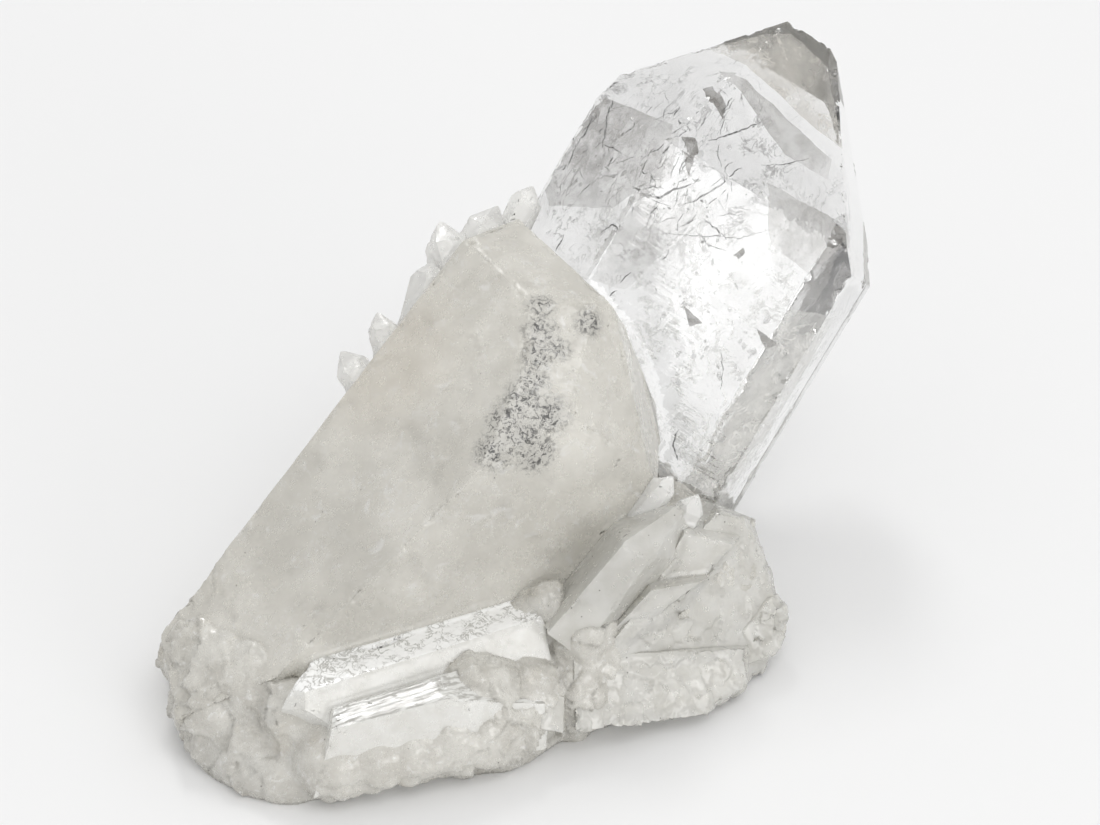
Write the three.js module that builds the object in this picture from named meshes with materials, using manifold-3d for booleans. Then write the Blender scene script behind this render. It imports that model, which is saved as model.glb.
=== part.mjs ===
// A cluster of quartz crystals grown together on a broken quartz base.
// Millimetres, +Z up. The cluster stands on the flat underside of its base at Z = 0.
import * as THREE from 'three';
import { ConvexGeometry } from 'three/addons/geometries/ConvexGeometry.js';
import { mergeVertices } from 'three/addons/utils/BufferGeometryUtils.js';
import Module from 'manifold-3d';

const wasm = await Module();
wasm.setup();

// ---------------------------------------------------------------- driving dimensions
const LEAN = 35;                 // the crystals fan out in one plane that leans back this many degrees
const PLANE_HEIGHT = 34.9;       // height of the leaning plane's middle point above the ground
const CENTRE = { x: 4, y: -2.4 };  // moves the cluster so that the Z axis runs through its middle
const GAP = 0.3;                 // clearance where two crystals touch
const GROUND_CLEARANCE = 0.8;    // the crystals end this high, so that only the base touches the ground
const PRISM = 90;                // slope of a prism face: degrees between its normal and the long axis
const TIP = 51.8;                // slope of quartz's natural tip faces

const QUARTZ = {
  clear: { color: 0xe9eae8, roughness: 0.05, metalness: 0 },
  milky: { color: 0xcfccc8, roughness: 0.45, metalness: 0 },
  matrix: { color: 0xd6d3cc, roughness: 0.7, metalness: 0 },
};

// ---------------------------------------------------------------- the leaning plane
const rad = THREE.MathUtils.degToRad;
const RIGHT = new THREE.Vector3(1, 0, 0);
const UP = new THREE.Vector3(0, Math.sin(rad(LEAN)), Math.cos(rad(LEAN)));
const OUT = new THREE.Vector3(0, -Math.cos(rad(LEAN)), Math.sin(rad(LEAN)));
const PLANE_MIDDLE = new THREE.Vector3(CENTRE.x, CENTRE.y, PLANE_HEIGHT);

// A point given in mm to the right, up the leaning plane, and out of it toward the front.
function inPlane([right, up, out]) {
  return PLANE_MIDDLE.clone()
    .addScaledVector(RIGHT, right)
    .addScaledVector(UP, up)
    .addScaledVector(OUT, out);
}

// The three directions of one crystal: its long axis, the direction that faces are counted
// from (as near to OUT as can be), and the one square to both.
// swing turns the axis in the plane from RIGHT, and lift raises it out of the plane.
function growthAxes(swing, lift) {
  const flat = RIGHT.clone().multiplyScalar(Math.cos(rad(swing)))
    .addScaledVector(UP, Math.sin(rad(swing)));
  const axis = flat.multiplyScalar(Math.cos(rad(lift))).addScaledVector(OUT, Math.sin(rad(lift)));
  const front = OUT.clone().addScaledVector(axis, -OUT.dot(axis)).normalize();
  const side = axis.clone().cross(front);
  return { axis, front, side };
}

// ---------------------------------------------------------------- solids from flat faces
// A face is [around, slope, distance]: degrees round the axis, degrees from the axis, and mm
// from the crystal's middle point. The planes say n . p <= d.
function facePlanes({ at, swing, lift, faces }) {
  const { axis, front, side } = growthAxes(swing, lift);
  const middle = inPlane(at);
  return Object.values(faces).map(([around, slope, distance]) => {
    const normal = axis.clone().multiplyScalar(Math.cos(rad(slope)))
      .addScaledVector(front, Math.sin(rad(slope)) * Math.cos(rad(around)))
      .addScaledVector(side, Math.sin(rad(slope)) * Math.sin(rad(around)));
    return { normal, d: normal.dot(middle) + distance };
  });
}

const groundPlane = { normal: new THREE.Vector3(0, 0, -1), d: -GROUND_CLEARANCE };

function cornerOf(a, b, c) {
  const bc = b.normal.clone().cross(c.normal);
  const volume = a.normal.dot(bc);
  if (Math.abs(volume) < 1e-5) return null;
  return bc.multiplyScalar(a.d)
    .addScaledVector(c.normal.clone().cross(a.normal), b.d)
    .addScaledVector(a.normal.clone().cross(b.normal), c.d)
    .divideScalar(volume);
}

// Every corner is where three planes meet inside all the others.
function solidFromPlanes(planes, grow = 0) {
  const grown = planes.map(({ normal, d }) => ({ normal, d: d + grow }));
  const corners = [];
  for (let i = 0; i < grown.length; i += 1) {
    for (let j = i + 1; j < grown.length; j += 1) {
      for (let k = j + 1; k < grown.length; k += 1) {
        const corner = cornerOf(grown[i], grown[j], grown[k]);
        if (!corner) continue;
        if (grown.some((p) => p.normal.dot(corner) > p.d + 1e-6)) continue;
        if (corners.every((other) => other.distanceTo(corner) > 1e-3)) corners.push(corner);
      }
    }
  }
  return new ConvexGeometry(corners);
}

// ---------------------------------------------------------------- joins and cuts
function toManifold(geometry) {
  const bare = geometry.clone();
  bare.deleteAttribute('normal');
  bare.deleteAttribute('uv');
  const merged = mergeVertices(bare, 1e-4);
  return new wasm.Manifold(new wasm.Mesh({
    numProp: 3,
    vertProperties: Float32Array.from(merged.attributes.position.array),
    triVerts: Uint32Array.from(merged.index.array),
  }));
}

function toGeometry(manifold) {
  const mesh = manifold.getMesh();
  const geometry = new THREE.BufferGeometry();
  geometry.setAttribute('position', new THREE.BufferAttribute(mesh.vertProperties, 3));
  geometry.setIndex(new THREE.BufferAttribute(mesh.triVerts, 1));
  const flat = geometry.toNonIndexed();
  flat.computeVertexNormals();
  return flat;
}

function largestPiece(manifold) {
  return manifold.decompose().sort((a, b) => b.volume() - a.volume())[0];
}

// ---------------------------------------------------------------- small standing points
// A regular six-sided point. Width is across the flats; the tip is where its faces meet.
function smallPoint({ tip, swing, lift, turn, width, length, squat = TIP }) {
  const half = width / 2;
  const faces = { foot: [0, 180, length / 2] };
  for (let n = 0; n < 6; n += 1) {
    const uneven = 1 + 0.12 * Math.sin(2.3 * n + width + length);
    const around = turn + 60 * n;
    faces[`prism_${n}`] = [around, PRISM, half * uneven];
    faces[`tip_${n}`] = [around, squat, (length / 2) * Math.cos(rad(squat)) * (n % 2 ? 1.06 : 1)];
  }
  const back = new THREE.Vector3(
    Math.cos(rad(lift)) * Math.cos(rad(swing)),
    Math.cos(rad(lift)) * Math.sin(rad(swing)),
    Math.sin(rad(lift)),
  ).multiplyScalar(-length / 2);
  return { at: [tip[0] + back.x, tip[1] + back.y, tip[2] + back.z], swing, lift, faces };
}

// ---------------------------------------------------------------- the big crystals
const mainClearCrystal = {
  at: [20, 12, -18],
  swing: 59.2,
  lift: 5.2,
  faces: {
    front: [15, PRISM, 13.1],
    right_front: [75, PRISM, 17.7],
    right_back: [135, PRISM, 18.2],
    back: [-165, PRISM, 14.4],
    left_back: [-105, PRISM, 26],
    left_front: [-45, PRISM, 24],
    tip_front: [15, TIP, 23.9],
    tip_right_front: [75, TIP, 25.7],
    tip_right_back: [135, TIP, 29.4],
    tip_back: [-165, TIP, 32.9],
    tip_left_back: [-105, TIP, 37],
    tip_left_front: [-45, TIP, 32.5],
    foot: [0, 180, 24],
  },
};

const frontMilkyCrystal = {
  at: [-17, -5, 2],
  swing: 51,
  lift: 8,
  faces: {
    left_front: [-34.5, 81.2, 9.2],
    right_front: [36, 87.4, 17.1],
    worn_front_low: [1.4, 68.9, 16.4],
    worn_front_high: [-6, 61, 17.3],
    tip_left: [-33, 43.5, 22.2],
    tip_right: [35.7, 52, 23.7],
    tip_side: [82, 38.9, 29.6],
    right_step: [42, 79, 21],
    left_side: [-91, 92, 13.5],
    crest_left: [-93.5, 62.4, 24.6],
    crest_right: [148.6, 14.8, 31.4],
    right_shoulder: [112, 29.7, 31.9],
    right_side: [111, 95, 25.4],
    back_left: [-150, PRISM, 17],
    back: [165, PRISM, 18],
    broken_end: [-72, 137, 40.8],
    broken_corner: [-67, 144, 44.6],
    broken_heel: [54, 117, 28.8],
  },
};

const lowSideCrystal = {
  at: [-20.8, -36.6, 14],
  swing: 194.5,
  lift: 20,
  faces: {
    shiny_top: [55, 88.5, 4.1],
    front: [-6, PRISM, 2.9],
    under: [-60, PRISM, 8.3],
    tip_top: [51, 55, 10.9],
    tip_front: [7, 46.6, 11.7],
    tip_under: [-60, TIP, 9.7],
    tip_back: [120, 50.5, 10.8],
    back: [180, PRISM, 6.3],
    upper_back: [120, PRISM, 5.8],
    foot: [0, 180, 21.3],
  },
};

const lowStripCrystal = {
  at: [-13.8, -41.6, 14],
  swing: 194.5,
  lift: 20,
  faces: {
    striped_top: [45, 83, 7.5],
    front: [-33, 81.5, 4.3],
    front_right: [-27, 95.5, 5],
    slope_right: [39.2, 111.7, 6.5],
    upper_back: [96, 89, 5.8],
    under: [-96, 86.5, 6.6],
    back: [180, PRISM, 6],
    tip: [110, 27.5, 16],
    foot: [0, 180, 12.5],
  },
};

const blockCrystal = {
  at: [0.3, -40.7, 9.5],
  swing: 78,
  lift: 0,
  faces: {
    face: [10, 82, 3],
    top: [-14, 5, 2.4],
    right: [83.5, 80, 1.8],
    left: [-87, 95, 1.4],
    back: [180, PRISM, 5],
    foot: [0, 180, 2.4],
  },
};

const rightPointA = {
  at: [10, -24, 8],
  swing: 50,
  lift: 8,
  faces: {
    tip_front: [9.8, 46, 7.8],
    front: [17.5, PRISM, 4.9],
    left: [-77.6, PRISM, 5.3],
    tip_left: [-79.4, 61.3, 7.3],
    right: [68, 87, 2.3],
    tip_right: [65, 63, 4.9],
    tip_back: [180, 40, 11.2],
    back: [180, PRISM, 9.8],
    foot: [0, 180, 10.4],
  },
};

const rightPointB = {
  at: [21, -21, -2],
  swing: 50,
  lift: 5,
  faces: {
    front: [30, 86, 6.4],
    right: [90, 95, 1.2],
    cap: [-60, 21, 5.6],
    cap_right: [60, 35, 9.6],
    left: [-83, 102, 5.2],
    back: [180, PRISM, 10],
    foot: [0, 180, 9.6],
  },
};

const rightLowPrism = {
  at: [12, -28, 6],
  swing: 50,
  lift: 5,
  faces: {
    front: [47, 95, 2],
    right: [90, 105, 1.2],
    cap: [-71, 40, 4.9],
    left: [-78.6, 88, 2],
    back: [180, PRISM, 10],
    foot: [0, 180, 8.6],
  },
};

const rightLump = {
  at: [23, -29, -6],
  swing: 50,
  lift: 0,
  faces: {
    broken_front: [31, 71.5, 5.8],
    bevel: [47.5, 26.6, 11.3],
    brow: [-83.5, 18.4, 14.7],
    rim_high: [82, 40, 9],
    rim_low: [79.5, 32, 9.4],
    heel: [80, 73.4, 9.5],
    lower_front: [40, 93.6, 6.8],
    top: [180, 40, 12.9],
    left: [-90, PRISM, 9.5],
    back: [180, PRISM, 18],
    foot: [0, 180, 14.2],
  },
};

const rightLedge = {
  at: [16, -38, 2],
  swing: 2,
  lift: 0,
  faces: {
    face: [-2, 66, 3.4],
    roof: [-85, 87, 5],
    lip: [94, 88, 3.9],
    end: [28.5, 10, 10.7],
    corner: [75.6, 57.6, 6.3],
    back: [180, PRISM, 12],
    foot: [0, 180, 12.7],
  },
};

// A small rounded growth: flat faces spread evenly all round, at slightly uneven distances.
function nodule({ at, size, faceCount = 16, stretch = [1, 1, 1] }) {
  const faces = {};
  const golden = 137.508;
  for (let n = 0; n < faceCount; n += 1) {
    const slope = THREE.MathUtils.radToDeg(Math.acos(1 - (2 * n + 1) / faceCount));
    const around = golden * n;
    const s = new THREE.Vector3(
      Math.cos(rad(slope)) * stretch[0],
      Math.sin(rad(slope)) * Math.cos(rad(around)) * stretch[1],
      Math.sin(rad(slope)) * Math.sin(rad(around)) * stretch[2],
    ).length();
    faces[`face_${n}`] = [around, slope, size * s * (1 + 0.1 * Math.sin(5.1 * n))];
  }
  return { at, swing: 50, lift: 0, faces };
}

// ---------------------------------------------------------------- the broken base
// Footprint corners in mm from the cluster's middle line, counter-clockwise seen from above.
const BASE_OUTLINE = [
  [-49, -36], [-43, -41], [-36, -44], [-29, -41], [-21, -38], [-13, -38], [-4, -36],
  [3, -29], [12, -26], [21, -24], [27, -18], [29, -5], [28, 9], [22, 22], [10, 30],
  [-8, 30], [-24, 22], [-38, 6], [-46, -12], [-50, -26],
];
const BASE_MIDDLE = [-8, -4];
const BASE_FRONT_HEIGHT = 6;     // the base is a low step in front of the crystals
const BASE_LEFT_HEIGHT = 13;     // and rises at its left end, under the tall frosted crystal
const BASE_LEFT = { from: -24, to: -36 };  // mm to the left over which it does
const BASE_BACK_HEIGHT = 27;     // and a mound behind them
const BASE_RAMP = { from: -30, to: -8 };  // mm toward the back over which it rises
const BASE_AROUND = 72;
const BASE_RINGS = 12;
const ROUGHNESS = 0.9;           // mm of unevenness on the broken surface

function unevenness(x, y, z) {
  const broad = Math.sin(0.31 * x + 1.7) * Math.cos(0.27 * y - 0.6) + Math.sin(0.37 * z + 0.21 * x);
  const fine = Math.sin(1.13 * x - 0.8 * y + 0.5) * Math.cos(0.97 * z + 0.64 * y);
  return 0.6 * broad + 0.5 * fine;
}

function baseHeight(x, y) {
  const left = 1 - THREE.MathUtils.smoothstep(x, BASE_LEFT.to, BASE_LEFT.from);
  const front = THREE.MathUtils.lerp(BASE_FRONT_HEIGHT, BASE_LEFT_HEIGHT, left);
  const climb = THREE.MathUtils.smoothstep(y, BASE_RAMP.from, BASE_RAMP.to);
  return THREE.MathUtils.lerp(front, BASE_BACK_HEIGHT, climb);
}

// Rings from the footprint inward and up to the middle, closed by a flat underside.
function baseMass() {
  const curve = new THREE.CatmullRomCurve3(
    BASE_OUTLINE.map(([x, y]) => new THREE.Vector3(x, y, 0)), true, 'centripetal');
  const outline = curve.getSpacedPoints(BASE_AROUND).slice(0, BASE_AROUND);
  const [midX, midY] = BASE_MIDDLE;
  const positions = [];
  for (let ring = 0; ring < BASE_RINGS; ring += 1) {
    const climb = (ring / BASE_RINGS) * 90;
    const inward = ring === 0 ? 0.97 : Math.cos(rad(climb)) ** 0.7;
    const upward = Math.sin(rad(climb)) ** 0.8;
    for (const point of outline) {
      const x = midX + (point.x - midX) * inward;
      const y = midY + (point.y - midY) * inward;
      const z = baseHeight(x, y) * upward;
      const bump = ring === 0 ? 0 : ROUGHNESS * unevenness(x, y, z);
      const reach = Math.hypot(x - midX, y - midY);
      const push = 1 + bump / reach;
      positions.push(midX + (x - midX) * push, midY + (y - midY) * push, z);
    }
  }
  const floor = positions.length / 3;
  const crown = floor + 1;
  positions.push(midX, midY, 0);
  positions.push(midX, midY, baseHeight(midX, midY));

  const triangles = [];
  for (let n = 0; n < BASE_AROUND; n += 1) {
    const next = (n + 1) % BASE_AROUND;
    triangles.push(floor, next, n);
    for (let ring = 0; ring < BASE_RINGS - 1; ring += 1) {
      const low = ring * BASE_AROUND;
      const high = low + BASE_AROUND;
      triangles.push(low + n, low + next, high + next);
      triangles.push(low + n, high + next, high + n);
    }
    const last = (BASE_RINGS - 1) * BASE_AROUND;
    triangles.push(last + n, last + next, crown);
  }
  const geometry = new THREE.BufferGeometry();
  geometry.setAttribute('position', new THREE.Float32BufferAttribute(positions, 3));
  geometry.setIndex(triangles);
  geometry.translate(CENTRE.x, CENTRE.y, 0);
  return geometry;
}

// ---------------------------------------------------------------- assembly
// Each crystal keeps its whole shape where it meets a later one, which is cut back round it.
const crystals = [
  ['low_side_crystal', lowSideCrystal, 'milky'],
  ['low_strip_crystal', lowStripCrystal, 'milky'],
  ['block_crystal', blockCrystal, 'milky'],
  ['right_point_a', rightPointA, 'milky'],
  ['front_milky_crystal', frontMilkyCrystal, 'milky'],
  ['right_low_prism', rightLowPrism, 'milky'],
  ['right_point_b', rightPointB, 'milky'],
  ['right_tip_small', smallPoint({
    tip: [20.5, -11.4, 5], swing: 58, lift: 20, turn: 20, width: 3.6, length: 9 }), 'clear'],
  ['right_tip_back', smallPoint({
    tip: [17, -8.8, 6], swing: 50, lift: 15, turn: 0, width: 3, length: 9 }), 'clear'],
  ['main_clear_crystal', mainClearCrystal, 'clear'],
  ['right_lump', rightLump, 'milky'],
  ['right_ledge', rightLedge, 'milky'],
  ['right_bump', nodule({ at: [28.6, -31.2, -6.5], size: 4.2, stretch: [1.5, 1, 0.9] }), 'milky'],
  ['back_point_1', smallPoint({
    tip: [-15.6, 27, -5], swing: 105, lift: 0, turn: 10, width: 5, length: 12 }), 'clear'],
  ['back_point_2', smallPoint({
    tip: [-7.5, 29.4, -8], swing: 62, lift: 0, turn: 25, width: 5.4, length: 16 }), 'clear'],
  ['back_point_3', smallPoint({
    tip: [-2.4, 32.4, -10], swing: 64, lift: 4, turn: 5, width: 3.6, length: 14 }), 'clear'],
  ['back_point_4', smallPoint({
    tip: [-16, 21.8, -4], swing: 76, lift: 0, turn: 15, width: 5, length: 13 }), 'clear'],
  ['back_point_5', smallPoint({
    tip: [-24.3, 14, -3], swing: 105, lift: 0, turn: 0, width: 3.6, length: 9 }), 'clear'],
  ['back_point_6', smallPoint({
    tip: [-29.6, 8.6, -5], swing: 125, lift: 0, turn: 12, width: 4.6, length: 10 }), 'clear'],
];

const cluster = new THREE.Group();

function addPiece(name, solid, look) {
  const mesh = new THREE.Mesh(toGeometry(solid), new THREE.MeshStandardMaterial(QUARTZ[look]));
  mesh.name = name;
  cluster.add(mesh);
}

const finished = [];

// Cuts a new piece back from everything that stands already.
function cutBack(solid) {
  return finished.reduce((left, other) => left.subtract(other), solid);
}

for (const [name, shape, look] of crystals) {
  const planes = [...facePlanes(shape), groundPlane];
  const solid = largestPiece(cutBack(toManifold(solidFromPlanes(planes))));
  finished.push(toManifold(solidFromPlanes(planes, GAP)));
  addPiece(name, solid, look);
}
addPiece('base_matrix', largestPiece(cutBack(toManifold(baseMass()))), 'matrix');

export default cluster;
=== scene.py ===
"""A quartz crystal cluster: clear and frosted crystals on a broken quartz base.

Metres, +Z up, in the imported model's frame. The crystals start from the CAD solids, and get
worn edges, chips, growth marks and inner veils here.
"""
import math
import random

import bmesh
import bpy
from mathutils import Matrix, Vector, noise
from mathutils.bvhtree import BVHTree
from mathutils.kdtree import KDTree


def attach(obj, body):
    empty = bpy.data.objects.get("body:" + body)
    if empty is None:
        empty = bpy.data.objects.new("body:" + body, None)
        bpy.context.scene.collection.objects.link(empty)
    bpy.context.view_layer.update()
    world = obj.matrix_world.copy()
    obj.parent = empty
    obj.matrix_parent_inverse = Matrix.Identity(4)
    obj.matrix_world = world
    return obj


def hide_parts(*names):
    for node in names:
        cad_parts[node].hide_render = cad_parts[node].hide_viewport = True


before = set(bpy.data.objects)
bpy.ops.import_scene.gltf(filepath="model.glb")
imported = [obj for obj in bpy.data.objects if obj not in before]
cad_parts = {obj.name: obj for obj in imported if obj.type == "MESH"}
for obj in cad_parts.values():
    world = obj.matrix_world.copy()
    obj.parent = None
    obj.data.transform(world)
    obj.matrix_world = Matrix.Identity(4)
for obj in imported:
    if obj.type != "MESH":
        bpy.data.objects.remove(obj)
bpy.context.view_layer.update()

MM = 0.001

# ---------------------------------------------------------------- the cluster's own directions
# The crystals fan out in a plane that leans back. Places below are given in it: mm to the
# right, mm up the plane, and mm out of it toward the front.
LEAN = math.radians(35)
RIGHT = Vector((1, 0, 0))
UP = Vector((0, math.sin(LEAN), math.cos(LEAN)))
OUT = Vector((0, -math.cos(LEAN), math.sin(LEAN)))
PLANE_MIDDLE = Vector((4, -2.4, 34.9)) * MM


def in_plane(right, up, out):
    return PLANE_MIDDLE + (RIGHT * right + UP * up + OUT * out) * MM


def long_axis(swing, lift):
    """swing turns the axis in the plane from RIGHT, and lift raises it out of the plane."""
    s, l = math.radians(swing), math.radians(lift)
    return (RIGHT * math.cos(s) + UP * math.sin(s)) * math.cos(l) + OUT * math.sin(l)


CLEAR_AXIS = long_axis(59.2, 5.2)
MILKY_AXIS = long_axis(51, 8)
LOW_AXIS = long_axis(194.5, 20)
POINT_AXIS = long_axis(50, 6)


# ---------------------------------------------------------------- noise, in mm
def fractal(place, size, octaves=3, shift=0.0):
    """Smooth noise from about -1 to 1 whose features are this many mm wide."""
    return noise.fractal(place / (size * MM) + Vector((shift, -shift, 2 * shift)), 0.8, 2.0, octaves)


def scallops(place, size, shift=0.0):
    """Shallow bowls with sharp ridges between them, as on broken quartz: 0 to about 1."""
    near = noise.voronoi(place / (size * MM) + Vector((shift, shift, -shift)))[0]
    return min(1.0, near[0] * near[0] * 1.6)


def facets(place, size, shift=0.0):
    """Flat tilted chips with steps between them, about -0.6 to 0.6."""
    spot = place / (size * MM) + Vector((shift, -shift, shift))
    centre = noise.voronoi(spot)[1][0]
    tilt = noise.cell_vector(centre * 7.3) - Vector((0.5, 0.5, 0.5))
    return (spot - centre).dot(tilt) * 1.6 + 0.5 * tilt.x


def fade(value, start, end):
    """0 at start, 1 at end, smooth between."""
    t = max(0.0, min(1.0, (value - start) / (end - start)))
    return t * t * (3 - 2 * t)


# ---------------------------------------------------------------- meshes
def new_piece(name, bm, material, node=None, sharp=30):
    mesh = bpy.data.meshes.new(name)
    for edge in bm.edges:
        edge.smooth = not edge.is_manifold or edge.calc_face_angle(0) < math.radians(sharp)
    for face in bm.faces:
        face.smooth = True
    bm.to_mesh(mesh)
    bm.free()
    mesh.materials.append(material)
    piece = bpy.data.objects.new(name, mesh)
    bpy.context.scene.collection.objects.link(piece)
    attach(piece, "root")
    if node:
        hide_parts(node)
    return piece


def node_solid(node):
    """The CAD node's solid with its flat faces joined back into whole polygons."""
    bm = bmesh.new()
    bm.from_mesh(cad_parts[node].data)
    bmesh.ops.remove_doubles(bm, verts=bm.verts, dist=0.005 * MM)
    bmesh.ops.dissolve_limit(
        bm, angle_limit=math.radians(0.5), verts=bm.verts, edges=bm.edges)
    return bm


def on_front(node, right, up):
    """Where the node's surface, or any for None, is met from the front at this place."""
    bm = bmesh.new()
    for name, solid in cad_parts.items():
        if node in (name, None):
            bm.from_mesh(solid.data)
    place = BVHTree.FromBMesh(bm).ray_cast(in_plane(right, up, 60), -OUT)[0]
    bm.free()
    return place or in_plane(right, up, 0)


def edge_map(bm, angle=12, step=0.35):
    """Finds the nearest place on a sharp edge."""
    places = []
    for edge in bm.edges:
        if edge.is_manifold and edge.calc_face_angle(0) > math.radians(angle):
            a, b = (v.co for v in edge.verts)
            count = int((b - a).length / (step * MM)) + 2
            places += [a.lerp(b, k / (count - 1)) for k in range(count)]
    tree = KDTree(len(places))
    for index, place in enumerate(places):
        tree.insert(place, index)
    tree.balance()
    return tree


def slice_up(bm, axis, spacing):
    """Cuts the faces by three families of parallel planes, so that they can carry relief."""
    side = axis.orthogonal().normalized()
    for direction in (axis, side, axis.cross(side)):
        along = [v.co.dot(direction) for v in bm.verts]
        low, high = min(along), max(along)
        count = int((high - low) / (spacing * MM))
        for k in range(1, count + 1):
            place = direction * (low + (high - low) * k / (count + 1))
            bmesh.ops.bisect_plane(
                bm, geom=bm.verts[:] + bm.edges[:] + bm.faces[:], dist=1e-7,
                plane_co=place, plane_no=direction)


def refine(bm, tree, coarse, fine, reach):
    """Splits long edges. The limit falls from coarse to fine, in mm, near the sharp edges."""
    for _ in range(6):
        bmesh.ops.triangulate(bm, faces=[f for f in bm.faces if len(f.verts) > 3])
        long = []
        for edge in bm.edges:
            a, b = (v.co for v in edge.verts)
            length = (a - b).length / MM
            if length <= fine:
                continue
            gap = tree.find((a + b) / 2)[2] / MM
            if length > fine + (coarse - fine) * min(1.0, gap / reach):
                long.append(edge)
        if not long:
            return
        bmesh.ops.subdivide_edges(bm, edges=long, cuts=1, use_grid_fill=True)
    bmesh.ops.triangulate(bm, faces=[f for f in bm.faces if len(f.verts) > 3])


def edge_wear(place, gap, wear, chips, shift):
    """How deep, in mm, an edge is worn back at a place this far from it."""
    worn = wear * fade(gap, 0.45, 0.0) * (0.6 + 0.5 * fractal(place, 2.5, 2, shift))
    chance = fractal(place, 3.2, 3, shift + 5) - 0.12
    chip = chips * max(0.0, chance) * (0.55 + 0.9 * scallops(place, 0.9, shift))
    return max(0.0, worn) + chip * fade(gap, 0.9, 0.1)


def neighbours_of(node):
    """Finds the nearest place on the other solids."""
    bm = bmesh.new()
    for name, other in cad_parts.items():
        if name != node:
            bm.from_mesh(other.data)
    tree = BVHTree.FromBMesh(bm)
    bm.free()
    return tree


def grown_solid(node, axis, relief, spacing=1.8, coarse=1.2, fine=0.3, grow=0.12,
                wear=0.08, chips=0.5, shift=0.0, meet=0.16):
    """The node's solid with worn edges and relief. relief(place, normal) is in mm outward.

    Where it touches a neighbour it grows by meet more, and its edges are not worn.
    """
    bm = node_solid(node)
    tree = edge_map(bm)
    others = neighbours_of(node)
    slice_up(bm, axis, spacing)
    refine(bm, tree, coarse, fine, 2.0)
    bm.normal_update()
    moves = []
    for vert in bm.verts:
        gap = tree.find(vert.co)[2] / MM
        touch = others.find_nearest(vert.co, 1.2 * MM)[3]
        touch = 0.0 if touch is None else fade(touch / MM, 1.2, 0.5)
        push = grow + meet * touch + relief(vert.co, vert.normal) * (1 - 0.7 * touch)
        push -= edge_wear(vert.co, gap, wear, chips, shift) * (1 - touch)
        moves.append(vert.normal * (push * MM))
    for vert, move in zip(bm.verts, moves):
        vert.co += move
        vert.co.z = max(vert.co.z, 0.0)
    return bm


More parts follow.
